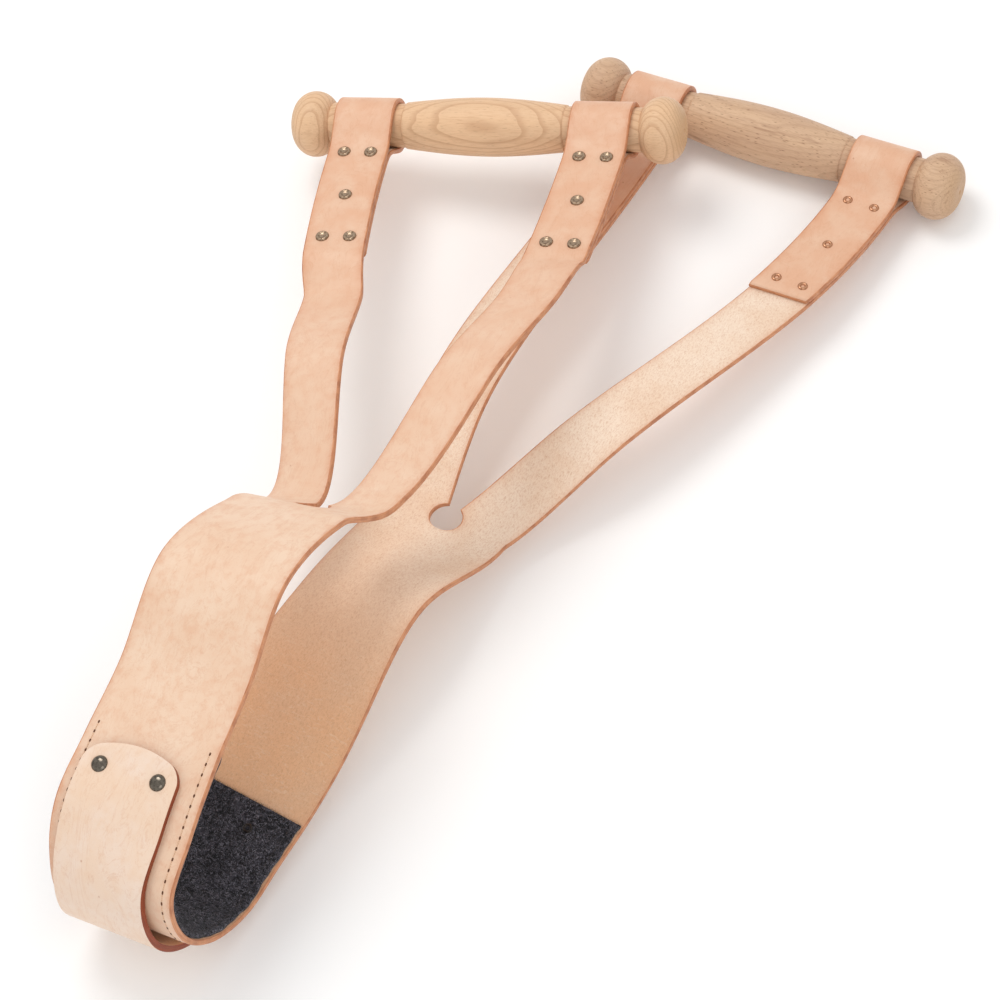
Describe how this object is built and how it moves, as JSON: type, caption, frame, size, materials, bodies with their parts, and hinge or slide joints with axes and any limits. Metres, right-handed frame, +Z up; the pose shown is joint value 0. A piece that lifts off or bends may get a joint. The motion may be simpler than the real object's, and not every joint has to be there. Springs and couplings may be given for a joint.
{
  "type": "two-handled leather carrying sling",
  "caption": "Leather carrying sling with a felt-lined folded cradle, split straps and turned wooden handles, for lifting a long heavy load.",
  "frame": {"origin": "on the surface that the sling lies on, below the middle of its bounding box", "axes": "+Z up, +Y from the fold of the cradle to the handles, +X to the right when looking along +Y"},
  "size_m": [0.4166, 0.7068, 0.1468],
  "materials": {
    "leather": "vegetable-tanned, smooth grain side with a low sheen, paler flesh side, burnished edges",
    "felt": "dense charcoal wool felt, matte",
    "thread": "waxed linen thread",
    "beech": "turned beech, sanded, unvarnished",
    "bronze_rivet": "antique bronze plating, satin",
    "nickel_rivet": "nickel plating, polished"
  },
  "bodies": {
    "cradle": {"cradle_and_back_leather": "leather", "felt_pad": "felt", "wear_patch": "leather", "stitch_row_left": "thread", "stitch_row_right": "thread", "patch_rivet_front_left": "nickel_rivet", "patch_rivet_front_right": "nickel_rivet", "patch_rivet_back_left": "nickel_rivet", "patch_rivet_back_right": "nickel_rivet", "back_left_rivet_1": "bronze_rivet", "back_left_rivet_2": "bronze_rivet", "back_left_rivet_3": "bronze_rivet", "back_left_rivet_4": "bronze_rivet", "back_left_rivet_5": "bronze_rivet", "back_right_rivet_1": "bronze_rivet", "back_right_rivet_2": "bronze_rivet", "back_right_rivet_3": "bronze_rivet", "back_right_rivet_4": "bronze_rivet", "back_right_rivet_5": "bronze_rivet"},
    "front_layer": {"front_leather": "leather", "front_left_rivet_1": "bronze_rivet", "front_left_rivet_2": "bronze_rivet", "front_left_rivet_3": "bronze_rivet", "front_left_rivet_4": "bronze_rivet", "front_left_rivet_5": "bronze_rivet", "front_right_rivet_1": "bronze_rivet", "front_right_rivet_2": "bronze_rivet", "front_right_rivet_3": "bronze_rivet", "front_right_rivet_4": "bronze_rivet", "front_right_rivet_5": "bronze_rivet"},
    "front_handle": {"front_handle": "beech"},
    "back_handle": {"back_handle": "beech"}
  },
  "joints": [
    {"name": "sling_open", "type": "hinge", "parent": "cradle", "child": "front_layer", "pos_m": [-0.00414, -0.24368, 0.11799], "axis": [0.985, 0.0816, 0.1521], "range_deg": [0, 90]},
    {"name": "front_handle_spin", "type": "hinge", "parent": "front_layer", "child": "front_handle", "pos_m": [-0.08123, 0.23944, 0.05097], "axis": [0.9482, 0.3061, 0.0851], "continuous": true},
    {"name": "back_handle_spin", "type": "hinge", "parent": "cradle", "child": "back_handle", "pos_m": [0.07709, 0.32586, 0.02115], "axis": [0.9986, 0.0538, -0.0001], "continuous": true}
  ]
}
